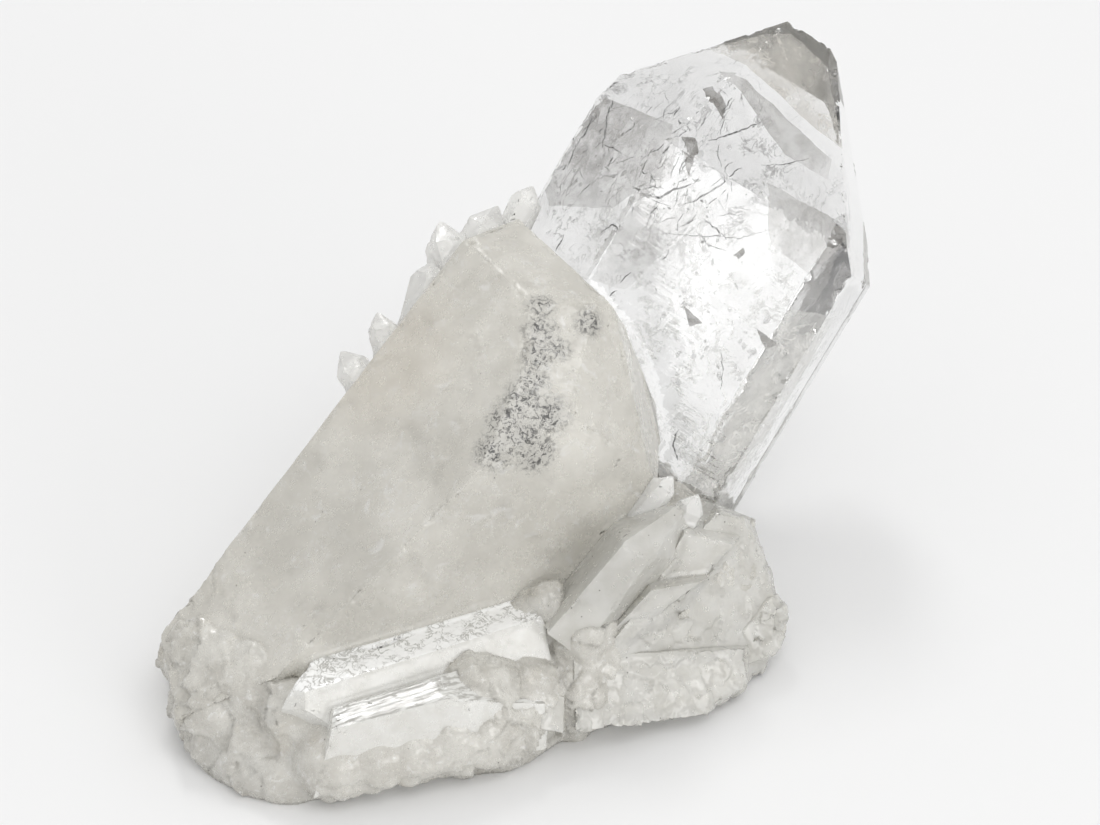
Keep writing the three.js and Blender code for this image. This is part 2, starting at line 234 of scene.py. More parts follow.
# ---------------------------------------------------------------- shader helpers
class Shader:
    """A material with one Principled shader and short ways to feed it."""

    def __init__(self, name):
        self.material = bpy.data.materials.new(name)
        self.material.use_nodes = True
        self.tree = self.material.node_tree
        self.principled = self.tree.nodes["Principled BSDF"]
        self.output = self.tree.nodes["Material Output"]
        self.place = self.node("ShaderNodeTexCoord").outputs["Object"]

    def node(self, kind, **settings):
        made = self.tree.nodes.new(kind)
        for key, value in settings.items():
            setattr(made, key, value)
        return made

    def feed(self, source, target):
        if isinstance(source, bpy.types.NodeSocket):
            self.tree.links.new(source, target)
        else:
            target.default_value = source

    def constants(self, **values):
        for key, value in values.items():
            self.principled.inputs[key.replace("_", " ")].default_value = value

    def maths(self, operation, a, b=0.0, clamp=False):
        made = self.node("ShaderNodeMath", operation=operation, use_clamp=clamp)
        self.feed(a, made.inputs[0])
        self.feed(b, made.inputs[1])
        return made.outputs[0]

    def vector(self, operation, a, b):
        made = self.node("ShaderNodeVectorMath", operation=operation)
        self.feed(a, made.inputs[0])
        self.feed(b, made.inputs[1])
        return made.outputs["Value" if operation in ("DISTANCE", "DOT_PRODUCT") else "Vector"]

    def noise(self, size, detail=4.0, roughness=0.55, distortion=0.0, place=None):
        made = self.node("ShaderNodeTexNoise")
        self.feed(self.place if place is None else place, made.inputs["Vector"])
        made.inputs["Scale"].default_value = 1 / (size * MM)
        made.inputs["Detail"].default_value = detail
        made.inputs["Roughness"].default_value = roughness
        made.inputs["Distortion"].default_value = distortion
        return made.outputs["Fac"]

    def cells(self, size, feature="F1", place=None, output="Distance"):
        made = self.node("ShaderNodeTexVoronoi", feature=feature)
        self.feed(self.place if place is None else place, made.inputs["Vector"])
        made.inputs["Scale"].default_value = 1 / (size * MM)
        return made.outputs[output]

    def between(self, value, low, high, start=0.0, end=1.0):
        """start below low, end above high, smooth between."""
        made = self.node("ShaderNodeMapRange", interpolation_type="SMOOTHSTEP")
        self.feed(value, made.inputs["Value"])
        for key, number in (("From Min", low), ("From Max", high), ("To Min", start), ("To Max", end)):
            made.inputs[key].default_value = number
        return made.outputs["Result"]

    def mix(self, share, a, b):
        made = self.node("ShaderNodeMix", data_type="RGBA")
        self.feed(share, made.inputs["Factor"])
        self.feed(a, made.inputs[6])
        self.feed(b, made.inputs[7])
        return made.outputs[2]

    def stretched(self, axis, across, along):
        """The place, squeezed so that a pattern is stretched along the axis."""
        frame_of = Matrix((axis.orthogonal().normalized(),
                           axis.cross(axis.orthogonal()).normalized(), axis))
        made = self.node("ShaderNodeMapping", vector_type="TEXTURE")
        made.inputs["Rotation"].default_value = frame_of.transposed().to_euler()
        made.inputs["Scale"].default_value = (across, across, along)
        self.feed(self.place, made.inputs["Vector"])
        return made.outputs["Vector"]

    def spot(self, centre, radius, soft=0.5):
        """1 inside the radius in mm round a place, fading to 0."""
        gap = self.vector("DISTANCE", self.place, tuple(centre))
        return self.between(gap, radius * (1 - soft) * MM, radius * (1 + soft) * MM, 1.0, 0.0)

    def either(self, values):
        total = values[0]
        for value in values[1:]:
            total = self.maths("MAXIMUM", total, value)
        return total

    def bump(self, height, strength, distance, below=None):
        made = self.node("ShaderNodeBump")
        made.inputs["Strength"].default_value = strength
        made.inputs["Distance"].default_value = distance * MM
        self.feed(height, made.inputs["Height"])
        if below is not None:
            self.feed(below, made.inputs["Normal"])
        return made.outputs["Normal"]

    def show(self, **sockets):
        for key, source in sockets.items():
            self.feed(source, self.principled.inputs[key.replace("_", " ")])
        return self.material

    def seen_where(self, share):
        """Shows the Principled shader where share is 1 and nothing where it is 0."""
        through = self.node("ShaderNodeBsdfTransparent")
        mixed = self.node("ShaderNodeMixShader")
        self.feed(share, mixed.inputs[0])
        self.tree.links.new(through.outputs[0], mixed.inputs[1])
        self.tree.links.new(self.principled.outputs[0], mixed.inputs[2])
        self.tree.links.new(mixed.outputs[0], self.output.inputs["Surface"])
        return self.material


# ---------------------------------------------------------------- materials
def clear_quartz():
    """Water-clear quartz with faint growth lines across its long axis."""
    s = Shader("clear_quartz")
    s.constants(Base_Color=(0.997, 0.997, 0.994, 1), Transmission_Weight=1.0, IOR=1.544,
                Roughness=0.015)
    lines = s.noise(0.9, 3, place=s.stretched(CLEAR_AXIS, 9.0, 1.0))
    return s.show(Normal=s.bump(lines, 0.10, 0.05))


def frosted_tip():
    """The small crystals: clear quartz with a lightly etched skin."""
    s = Shader("frosted_tip_quartz")
    s.constants(Base_Color=(0.96, 0.955, 0.93, 1), Transmission_Weight=0.4, IOR=1.544)
    grain = s.noise(0.5, 5)
    rough = s.between(s.noise(1.6, 4), 0.35, 0.7, 0.08, 0.35)
    return s.show(Roughness=rough, Normal=s.bump(grain, 0.25, 0.06))


SPECKLED = [  # right, up, radius: where dark grains sit on the worn middle of the milky crystal
    (-1.3, 14.6, 1.8), (-1.3, 11.0, 2.3), (-1.7, 7.7, 2.1), (-2.3, 4.3, 2.0), (-3.5, 1.4, 2.7),
    (-0.3, -0.3, 2.6), (-4.0, -2.6, 3.0), (-7.3, -5.0, 2.6), (-2.0, -5.3, 2.8), (5.3, 12.3, 1.9),
    (1.2, 8.5, 1.6), (-6.4, -1.0, 2.2),
]


def milky_quartz():
    """Cloudy quartz: soft white clouds, dark grains on the worn middle and rare dark specks."""
    s = Shader("milky_quartz")
    s.constants(Transmission_Weight=0.38, IOR=1.544)
    clouds = s.between(s.noise(12, 5, 0.6), 0.32, 0.68)
    colour = s.mix(clouds, (0.71, 0.69, 0.63, 1), (0.87, 0.85, 0.785, 1))
    veins = s.between(s.noise(2.5, 6, 0.65, 0.8), 0.56, 0.70)
    colour = s.mix(s.maths("MULTIPLY", veins, 0.6), colour, (0.96, 0.955, 0.93, 1))
    shade = s.between(s.noise(5.0, 5, 0.6, 0.5), 0.54, 0.72)
    colour = s.mix(s.maths("MULTIPLY", shade, 0.45), colour, (0.56, 0.54, 0.49, 1))
    beige = s.maths("MULTIPLY", s.spot(on_front("front_milky_crystal", -23, 8), 10, 0.6), 0.4)
    colour = s.mix(beige, colour, (0.70, 0.64, 0.54, 1))
    spots = [s.spot(on_front("front_milky_crystal", r, u), size, 0.6) for r, u, size in SPECKLED]
    worn = s.either(spots)
    colour = s.mix(s.maths("MULTIPLY", worn, 0.5), colour, (0.54, 0.53, 0.50, 1))
    grains = s.between(s.noise(0.8, 5, 0.8, 1.2), 0.515, 0.545)
    dark = s.maths("MULTIPLY", s.maths("MULTIPLY", worn, grains), 0.95)
    colour = s.mix(dark, colour, (0.05, 0.05, 0.05, 1))
    specks = s.between(s.cells(2.4), 0.035, 0.06, 1.0, 0.0)
    rare = s.maths("MULTIPLY", specks, s.between(s.noise(9, 2), 0.52, 0.6))
    colour = s.mix(s.maths("MULTIPLY", rare, 0.85), colour, (0.12, 0.11, 0.10, 1))
    wisps = s.noise(3.0, 5, 0.6, 1.6)
    thread = s.between(s.maths("ABSOLUTE", s.maths("SUBTRACT", wisps, 0.5)), 0.0, 0.012, 1.0, 0.0)
    thread = s.maths("MULTIPLY", thread, s.between(s.noise(7, 3), 0.5, 0.62))
    colour = s.mix(s.maths("MULTIPLY", thread, 0.6), colour, (1, 1, 1, 1))
    rough = s.between(s.noise(2.2, 6, 0.7), 0.3, 0.7, 0.14, 0.34)
    fine = s.bump(s.noise(0.6, 4, 0.6), 0.10, 0.03)
    scratches = s.noise(0.5, 2, place=s.stretched(MILKY_AXIS, 1.0, 14.0))
    return s.show(Base_Color=colour, Roughness=rough, Normal=s.bump(scratches, 0.06, 0.04, fine))


def side_quartz():
    """The smaller cloudy crystals: more see-through, with specks and glossy skins."""
    s = Shader("side_quartz")
    s.constants(Transmission_Weight=0.5, IOR=1.544)
    clouds = s.between(s.noise(4, 5, 0.6), 0.35, 0.65)
    colour = s.mix(clouds, (0.86, 0.845, 0.79, 1), (0.98, 0.97, 0.925, 1))
    specks = s.between(s.cells(2.2), 0.04, 0.065, 1.0, 0.0)
    colour = s.mix(s.maths("MULTIPLY", specks, 0.8), colour, (0.10, 0.09, 0.08, 1))
    rough = s.between(s.noise(1.4, 5, 0.7), 0.35, 0.7, 0.08, 0.3)
    lines = s.noise(0.45, 3, place=s.stretched(POINT_AXIS, 1.0, 10.0))
    fine = s.bump(s.noise(0.5, 4, 0.6), 0.15, 0.04)
    return s.show(Base_Color=colour, Roughness=rough, Normal=s.bump(lines, 0.15, 0.04, fine))


def low_quartz():
    """The low crystals' matte sides."""
    s = Shader("low_quartz")
    s.constants(Transmission_Weight=0.25, IOR=1.544)
    clouds = s.between(s.noise(4, 5, 0.6), 0.35, 0.65)
    colour = s.mix(clouds, (0.82, 0.81, 0.765, 1), (0.91, 0.905, 0.87, 1))
    rough = s.between(s.noise(1.4, 5, 0.7), 0.35, 0.7, 0.15, 0.35)
    return s.show(Base_Color=colour, Roughness=rough, Normal=s.bump(s.noise(0.6, 4), 0.1, 0.04))


def etched_quartz_painted_light():
    """A polished face crossed by fine winding crackle. Its near-white colour is partly painted light:
    the up-facing faces are made whiter to stand for light falling from above, while the crackle is the
    face's own.
    """
    s = Shader("etched_quartz_painted_light")
    s.constants(Transmission_Weight=0.1, IOR=1.544)
    s.principled.inputs["Coat Weight"].default_value = 1.0
    wander = s.noise(1.5, 5, 0.6, 1.2)
    ridge = s.maths("ABSOLUTE", s.maths("SUBTRACT", wander, 0.5))
    crackle = s.maths("MULTIPLY", s.between(ridge, 0.0, 0.06, 1.0, 0.0),
                      s.between(s.noise(3, 3), 0.38, 0.52))
    # near-white base is painted light from above; the dark crackle lines are the face's own
    colour = s.mix(s.maths("MULTIPLY", crackle, 0.85), (0.985, 0.985, 0.97, 1), (0.36, 0.35, 0.32, 1))
    rough = s.between(s.noise(1.4, 5, 0.7), 0.35, 0.7, 0.05, 0.25)
    return s.show(Base_Color=colour, Roughness=rough, Normal=s.bump(wander, 0.5, 0.2))


def striped_quartz():
    """A bright face with fine lines that run along the crystal."""
    s = Shader("striped_quartz")
    s.constants(Transmission_Weight=0.15, IOR=1.544)
    s.principled.inputs["Coat Weight"].default_value = 0.3
    lines = s.noise(0.6, 4, place=s.stretched(LOW_AXIS, 1.0, 22.0))
    colour = s.mix(s.between(lines, 0.42, 0.58), (0.80, 0.80, 0.77, 1), (0.46, 0.45, 0.42, 1))
    rough = s.between(s.noise(1.4, 5, 0.7), 0.35, 0.7, 0.12, 0.3)
    return s.show(Base_Color=colour, Roughness=rough, Normal=s.bump(lines, 0.5, 0.1))


def matrix_quartz():
    """Broken quartz of the base: warm white with a sugary grain, stains and a few dark specks."""
    s = Shader("matrix_quartz")
    s.constants(Transmission_Weight=0.3, IOR=1.544)
    broad = s.between(s.noise(5, 6, 0.65), 0.35, 0.65)
    colour = s.mix(broad, (0.66, 0.64, 0.585, 1), (0.80, 0.785, 0.73, 1))
    stain = s.maths("MULTIPLY", s.between(s.noise(7, 4), 0.55, 0.75), 0.4)
    colour = s.mix(stain, colour, (0.72, 0.66, 0.55, 1))
    specks = s.between(s.cells(1.8), 0.05, 0.08, 1.0, 0.0)
    rare = s.maths("MULTIPLY", specks, s.between(s.noise(6, 2), 0.46, 0.56))
    colour = s.mix(s.maths("MULTIPLY", rare, 0.9), colour, (0.08, 0.07, 0.06, 1))
    bright = s.between(s.noise(1.2, 5, 0.7, 0.8), 0.58, 0.66)
    colour = s.mix(s.maths("MULTIPLY", bright, 0.7), colour, (0.99, 0.985, 0.96, 1))
    rough = s.between(s.noise(1.1, 5, 0.7), 0.35, 0.65, 0.06, 0.4)
    sugar = s.bump(s.cells(1.0), 0.35, 0.14)
    return s.show(Base_Color=colour, Roughness=rough, Normal=s.bump(s.noise(0.4, 5), 0.15, 0.05, sugar))


UPPER = [(8, 37, 7), (13, 42, 6), (18, 38, 8), (25, 38, 7), (31, 31, 6), (14, 29, 7), (5, 31, 6),
         (23, 30, 7)]       # right, up, radius: where the grey veils gather
MIDDLE = [(20, 21, 8), (28, 20, 8), (32, 13, 7), (24, 10, 9), (17, 14, 7), (22, 0, 8), (26, -6, 7),
          (19, -8, 5)]      # and where the white ones do
LOW_RIGHT = [(36, 10, 4), (33, 4, 4), (29.5, -2, 4), (26, -8, 4), (22, -11, 4)]
TIP = [(30, 51, 5), (36, 51, 5), (38, 46, 5), (40, 41, 4)]  # under the tip's own faces
RIM = [(22, 45.5, 1.8), (26, 42.5, 1.8), (30, 39.5, 1.8), (34, 36, 1.8), (38, 32.5, 1.8),
       (41, 30, 1.8), (10, 47, 2)]  # a soft band near the tip


def veil(name, colour, regions, size, line, amount, haze, stretch=1.0, least=0.0):
    """A healed crack inside clear quartz: thin winding lines and a soft haze, in some regions."""
    s = Shader(name)
    s.constants(Roughness=0.3, Base_Color=colour)
    place = s.stretched(CLEAR_AXIS, 1.0, stretch)
    wander = s.noise(size, 6, 0.6, 1.0, place)
    ridge = s.maths("ABSOLUTE", s.maths("SUBTRACT", wander, 0.5))
    lines = s.between(ridge, 0.0, line, 1.0, 0.0)
    broken = s.between(s.noise(size * 0.9, 3, 0.6), 0.47, 0.6)
    soft = s.between(s.noise(size * 1.7, 5, 0.55), 0.30, 0.68, least, haze)
    share = s.maths("ADD", s.maths("MULTIPLY", s.maths("MULTIPLY", lines, broken), amount), soft, True)
    inside = s.either([s.spot(in_plane(r, u, -12), 1.5 * size_of, 0.45) for r, u, size_of in regions])
    return s.seen_where(s.maths("MULTIPLY", share, inside))


def film(name, colour, least, most, centre=None):
    """A growth plane inside clear quartz: an uneven haze that fades away from its centre."""
    s = Shader(name)
    s.constants(Roughness=0.3, Base_Color=colour)
    haze = s.between(s.noise(3.0, 5, 0.6), 0.3, 0.7, least, most)
    if centre:
        right, up, reach = centre
        haze = s.maths("MULTIPLY", haze, s.spot(in_plane(right, up, -12), reach, 1.0))
    return s.seen_where(haze)


def flake_white():
    s = Shader("inner_white_flakes")
    s.constants(Base_Color=(0.97, 0.97, 0.97, 1), Roughness=0.12)
    return s.seen_where(s.between(s.noise(0.7, 3), 0.35, 0.6, 0.15, 0.85))


def flake_dark():
    s = Shader("inner_dark_flakes")
    s.constants(Base_Color=(0.12, 0.12, 0.115, 1), Roughness=0.3)
    return s.seen_where(s.between(s.noise(0.5, 4, 0.7), 0.42, 0.56, 0.2, 0.9))


# ---------------------------------------------------------------- relief of each piece, in mm
def across(place):
    """The place's mm to the right and mm up the leaning plane."""
    gap = (place - PLANE_MIDDLE) / MM
    return gap.dot(RIGHT), gap.dot(UP)


def glassy_relief(place, normal):
    return 0.010 * fractal(place, 9, 2) + 0.003 * fractal(place, 1.6, 2)


def milky_relief(place, normal):
    """Softly uneven faces, a pitted worn middle and a broken lower end."""
    right, up = across(place)
    push = 0.07 * fractal(place, 9, 2) + 0.02 * fractal(place, 1.5, 3)
    pitted = fade(abs(right + 1.5 + 0.25 * (4 - up)), 6, 3) * fade(up, -11, -7) * fade(up, 19, 15)
    push -= 0.10 * pitted * max(0.0, fractal(place, 0.9, 3, 4))
    along = (place - in_plane(-17, -5, 2)).dot(MILKY_AXIS) / MM
    broken = fade(along, -27 + 3 * fractal(place, 5, 2), -34)
    push += broken * (0.5 * facets(place, 4.5) - 0.2 + 0.3 * facets(place, 1.8, 2))
    return push


def etched_relief(place, normal):
    """Low winding ridges, and one long smooth pit near the top edge."""
    right, up = across(place)
    slope = math.radians(14)
    along = (right + 22.7) * math.cos(slope) + (up + 31.0) * math.sin(slope)
    beside = (up + 31.0) * math.cos(slope) - (right + 22.7) * math.sin(slope)
    pit = math.sqrt((along / 3.6) ** 2 + (beside / 1.0) ** 2)
    facing_up = fade(normal.dot(UP), 0.3, 0.6)
    etched = 0.05 * fractal(place, 1.1, 3) * fade(right, -31, -27)
    return facing_up * (etched - 0.45 * fade(pit, 1.05, 0.4)) + 0.03 * fractal(place, 6, 2)


def striped_relief(place, normal):
    """Steps and grooves that run along the crystal."""
    side = LOW_AXIS.cross(OUT).normalized()
    height = place.dot(side) / MM
    wander = 2.5 * fractal(place, 9, 2)
    groove = math.sin(height * 3.1 + wander) + 0.7 * math.sin(height * 7.7 - 1.7 * wander)
    return 0.03 * groove * fade(normal.dot(UP), 0.2, 0.5) + 0.05 * fractal(place, 3, 3)


def grown_relief(place, normal):
    return 0.05 * fractal(place, 5, 2) + 0.025 * fractal(place, 1.2, 3)


def broken_relief(place, normal):
    """Curved fracture ripples round two places, and scallops on the lower edge."""
    push = 0.05 * fractal(place, 4, 2)
    for centre, pitch, reach in ((in_plane(31, -18, -6), 1.5, 17), (in_plane(12, -36, 2), 1.9, 12)):
        gap = (place - centre).length / MM
        ripple = math.sin(2 * math.pi * (gap + 0.5 * fractal(place, 4, 2)) / pitch)
        push += 0.10 * ripple * fade(gap, reach, 0.4 * reach) * (0.5 + 0.5 * fractal(place, 3, 2, 9))
    low = fade(across(place)[1], -24, -30)
    return push + (0.35 + 0.4 * low) * facets(place, 4.0, 1) + 0.16 * facets(place, 1.5, 3)


def ledge_relief(place, normal):
    return (0.8 * facets(place, 4.5, 6) + 0.3 * facets(place, 1.8, 2)
            + 0.04 * fractal(place, 0.9, 2))


def base_relief(place, normal):
    """Broken quartz, smoother under the low crystals, with small rounded knobs at its foot."""
    right, up = across(place)
    x, y, z = place / MM
    smooth = fade(y, -25, -33) * fade(x, -10, -16) * fade(x, -34, -29)
    knobs = fade(abs(right + 24), 9, 6) * fade(z, 7, 4) * smooth
    chips = 1.0 * facets(place, 5.5, 3) + 0.5 * facets(place, 2.4, 1)
    broken = chips + 0.10 * facets(place, 1.1) + 0.25 * fractal(place, 7, 2) + 0.1
    worn = 0.3 * fractal(place, 6, 2) + 0.06 * fractal(place, 1.6, 3)
    bead = 0.9 * (0.45 - scallops(place, 2.6, 7))
    return broken * (1 - smooth) + worn * smooth + bead * knobs


# ---------------------------------------------------------------- the crystals
def main_crystal(glass):
    bm = grown_solid("main_clear_crystal", CLEAR_AXIS, glassy_relief, coarse=1.6, fine=0.3,
                     grow=0.05, wear=0.07, chips=0.75, shift=1)
    return new_piece("main_clear_crystal_worn", bm, glass, "main_clear_crystal")


def milky_crystal(milky):
    bm = grown_solid("front_milky_crystal", MILKY_AXIS, milky_relief, spacing=1.6, coarse=0.85,
                     fine=0.3, wear=0.10, chips=0.8, shift=2)
    return new_piece("front_milky_crystal_worn", bm, milky, "front_milky_crystal")


def face_up(piece, material, least):
    """Gives the faces that look up more than this their own material."""
    piece.data.materials.append(material)
    for face in piece.data.polygons:
        face.material_index = int(face.normal.z > least)


def low_crystals(low, etched, striped):
    bm = grown_solid("low_side_crystal", LOW_AXIS, etched_relief, spacing=1.0, coarse=0.4,
                     fine=0.22, wear=0.05, chips=0.25, shift=3)
    piece = new_piece("low_side_crystal_worn", bm, low, "low_side_crystal")
    # up-facing faces take the near-white etched colour: a painted highlight from light above, over real
    # crackle
    face_up(piece, etched, 0.8)
    bm = grown_solid("low_strip_crystal", LOW_AXIS, striped_relief, spacing=1.0, coarse=0.4,
                     fine=0.22, wear=0.06, chips=0.4, shift=4)
    piece = new_piece("low_strip_crystal_worn", bm, low, "low_strip_crystal")
    face_up(piece, striped, 0.8)


def small_milky_crystals(milky):
    for shift, node in enumerate(("block_crystal", "right_point_a", "right_low_prism",
                                  "right_point_b")):
        bm = grown_solid(node, POINT_AXIS, grown_relief, spacing=1.2, coarse=0.8, fine=0.25,
                         wear=0.06, chips=0.45, shift=5 + shift)
        new_piece(node + "_worn", bm, milky, node)


def right_broken_pieces(milky):
    for node, relief in (("right_lump", broken_relief), ("right_ledge", ledge_relief),
                         ("right_bump", ledge_relief)):
        bm = grown_solid(node, POINT_AXIS, relief, spacing=1.1, coarse=0.6, fine=0.35, wear=0.12,
                         chips=0.9, shift=11)
        new_piece(node + "_worn", bm, milky, node)


def small_clear_points(frosted):
    nodes = ["right_tip_small", "right_tip_back"] + [f"back_point_{n}" for n in range(1, 7)]
    for shift, node in enumerate(nodes):
        bm = grown_solid(node, POINT_AXIS, grown_relief, spacing=1.2, coarse=0.9, fine=0.25,
                         wear=0.06, chips=0.4, shift=20 + shift)
        new_piece(node + "_worn", bm, frosted, node)


FILLING = [  # right, up, mm below the surface, radius: broken quartz round the low crystals
    (-1, -29, 5.6, 6.0), (1, -34, 5.8, 6.2), (-3, -38.5, 5.7, 6.2), (4, -38, 5.4, 5.8),
    (-6, -42, 5.4, 5.8), (7, -34.5, 4.4, 4.8), (4.5, -30.5, 4.4, 5.0), (-9.5, -38, 5.2, 5.6),
    (-34, -47, 5.4, 6.0), (-29, -46.5, 5.4, 6.0), (-24, -45.5, 5.4, 6.0), (-19, -44.5, 5.4, 6.0),
    (-14, -43, 5.4, 6.0), (-9, -42.5, 5.4, 6.0),
    (3.6, -38.5, 1.7, 2.4), (3.4, -41.5, 1.7, 2.4), (3.2, -44.5, 1.7, 2.4),
    (-47, -33.5, 6.4, 6.8), (-43.5, -35.5, 6.6, 7.0), (-39.5, -36.5, 6.2, 6.6),
    (-36.5, -37.5, 5.4, 5.8), (-45, -39.5, 7.0, 7.4), (-40, -41, 7.0, 7.4), (-36, -43, 6.2, 6.6),
    (-41, -45.5, 6.2, 6.6), (-34.5, -40.5, 4.6, 5.0),
]


SUNK = {  # how many mm each solid shrinks before the base is fused round it
    "base_matrix": 0.0, "low_side_crystal": 0.6, "low_strip_crystal": 0.6, "block_crystal": 0.6,
    "right_low_prism": 0.6, "right_point_b": 0.6, "right_lump": 1.2, "right_ledge": 1.2,
    "right_bump": 1.2,
}


def sunk_solids():
    """The base with the slightly shrunken crystals that stand in it, and the filling."""
    bm = bmesh.new()
    for node, sink in SUNK.items():
        solid = node_solid(node)
        solid.normal_update()
        for vert in solid.verts:
            vert.co -= vert.normal * (sink * MM)
        mesh = bpy.data.meshes.new("sunk")
        solid.to_mesh(mesh)
        solid.free()
        bm.from_mesh(mesh)
        bpy.data.meshes.remove(mesh)
    for right, up, below, radius in FILLING:
        centre = on_front(None, right, up) - OUT * below * MM
        bmesh.ops.create_icosphere(bm, subdivisions=3, radius=radius * MM,
                                   matrix=Matrix.Translation(centre))
    return bm


def fused(bm):
    """One smooth skin round all the solids of the mesh."""
    mesh = bpy.data.meshes.new("base_union")
    bm.to_mesh(mesh)
    bm.free()
    union = bpy.data.objects.new("base_union", mesh)
    bpy.context.scene.collection.objects.link(union)
    remesh = union.modifiers.new("fuse", "REMESH")
    remesh.mode = "VOXEL"
    remesh.voxel_size = 0.5 * MM
    smooth = union.modifiers.new("round", "SMOOTH")
    smooth.factor, smooth.iterations = 0.5, 12
    skin = bmesh.new()
    skin.from_object(union, bpy.context.evaluated_depsgraph_get())
    bpy.data.objects.remove(union)
    return skin


def broken_base(matrix):
    """The base, flowing up round the lower crystals so that they stand out of one mass."""
    bm = fused(sunk_solids())
    bm.normal_update()
    others = neighbours_of("base_matrix")
    for vert in bm.verts:
        push = base_relief(vert.co, vert.normal)
        near, normal, _, gap = others.find_nearest(vert.co, 3 * MM)
        if near is not None and (vert.co - near).dot(normal) < 0:
            push = min(push, -0.2) * fade(gap / MM, 0, 0.4)
        flat = fade(vert.co.z / MM, 0.9, 0.4)
        vert.co += vert.normal * (push * MM * (1 - flat))
        vert.co.z = max(vert.co.z, 0.0) * (1 - flat)
    new_piece("base_matrix_broken", bm, matrix, "base_matrix", sharp=28)


# ---------------------------------------------------------------- inside the clear crystal
class Interior:
    """Keeps inner marks inside the clear crystal and finds depths below its front faces."""

    def __init__(self, node="main_clear_crystal"):
        bm = node_solid(node)
        self.surface = BVHTree.FromBMesh(bm)
        self.planes = []
        for face in bm.faces:
            height = face.normal.dot(face.verts[0].co)
            if all(face.normal.dot(v.co) < height + 0.05 * MM for v in bm.verts):
                self.planes.append((face.normal.copy(), height))
        bm.free()

    def keep(self, place, margin=0.5):
        for _ in range(3):
            for normal, height in self.planes:
                over = normal.dot(place) - (height - margin * MM)
                if over > 0:
                    place = place - normal * over
        return place

    def below(self, right, up, depth):
        """A place this many mm behind the front surface."""
        start = in_plane(right, up, 60)
        place = self.surface.ray_cast(start, -OUT)[0] or in_plane(right, up, -12)
        return self.keep(place - OUT * depth * MM)


def thin_plate(bm, outline, thickness):
    """A closed plate of this thickness in mm between two copies of the outline."""
    normal = (outline[1] - outline[0]).cross(outline[2] - outline[0]).normalized()
    half = normal * (0.5 * thickness * MM)
    top = [bm.verts.new(p + half) for p in outline]
    low = [bm.verts.new(p - half) for p in outline]
    bm.faces.new(top)
    bm.faces.new(list(reversed(low)))
    for k in range(len(outline)):
        n = (k + 1) % len(outline)
        bm.faces.new((top[k], low[k], low[n], top[n]))


def inner_sheet(interior, name, corners, depths, material, bow=0.5, step=0.9, thickness=0.05):
    """A thin curved sheet. corners are (right, up) in mm and depths are mm behind the front."""
    bm = bmesh.new()
    verts = [bm.verts.new(interior.below(r, u, d)) for (r, u), d in zip(corners, depths)]
    bm.faces.new(verts)
    for _ in range(6):
        bmesh.ops.triangulate(bm, faces=bm.faces[:])
        long = [e for e in bm.edges if e.calc_length() > step * MM]
        if not long:
            break
        bmesh.ops.subdivide_edges(bm, edges=long, cuts=1, use_grid_fill=True)
    bmesh.ops.triangulate(bm, faces=bm.faces[:])
    for vert in bm.verts:
        ragged = OUT * (bow * MM * fractal(vert.co, 6, 3))
        ragged += (RIGHT * fractal(vert.co, 2.5, 3, 3) + UP * fractal(vert.co, 2.5, 3, 8)) * 0.25 * MM
        vert.co = interior.keep(vert.co + ragged)
    swept = bmesh.ops.extrude_face_region(bm, geom=bm.faces[:], use_keep_orig=True)
    back = [item for item in swept["geom"] if isinstance(item, bmesh.types.BMVert)]
    bmesh.ops.translate(bm, verts=back, vec=OUT * (-thickness * MM))
    bmesh.ops.recalc_face_normals(bm, faces=bm.faces)
    return new_piece(name, bm, material)


def stray_cracks(count, seed):
    """Short hairline cracks, mostly along the crystal, through its upper left part."""
    rng = random.Random(seed)
    lines = []
    for _ in range(count):
        right, up = rng.gauss(14, 7), rng.gauss(34, 6.5)
        turn = math.radians(rng.gauss(57, 28))
        length = rng.uniform(0.8, 3.2)
        ahead = (length * math.cos(turn), length * math.sin(turn))
        bend = rng.uniform(-0.3, 0.3)
        middle = (right + ahead[0] / 2 - bend * ahead[1] / 2, up + ahead[1] / 2 + bend * ahead[0] / 2)
        end = (right + ahead[0], up + ahead[1])
        lines.append((rng.uniform(1.5, 9), rng.uniform(0.08, 0.22), [(right, up), middle, end]))
    return lines


def crack_lines(interior, name, lines, material):
    """Ribbons along short jagged lines: cracks seen edge on."""
    rng = random.Random(5)
    bm = bmesh.new()
    for depth, width, points in lines:
        places = []
        for (r0, u0), (r1, u1) in zip(points, points[1:]):
            count = max(2, int(math.hypot(r1 - r0, u1 - u0) / 0.5))
            for k in range(count):
                t = k / count
                places.append((r0 + (r1 - r0) * t + rng.uniform(-0.12, 0.12),
                               u0 + (u1 - u0) * t + rng.uniform(-0.12, 0.12)))
        places.append(points[-1])
        rim = [interior.below(r, u, depth) for r, u in places]
        heads, tails = [], []
        for k, place in enumerate(rim):
            ahead = rim[min(k + 1, len(rim) - 1)] - rim[max(k - 1, 0)]
            side = ahead.cross(OUT).normalized()
            half = width * MM * (0.15 + 0.85 * math.sin(math.pi * (k + 0.3) / len(rim))) / 2
            half *= rng.uniform(0.5, 1.2)
            heads.append(place + side * half)
            tails.append(place - side * half)
        thin_plate(bm, heads + tails[::-1], 0.08)
    bmesh.ops.recalc_face_normals(bm, faces=bm.faces)
    return new_piece(name, bm, material)


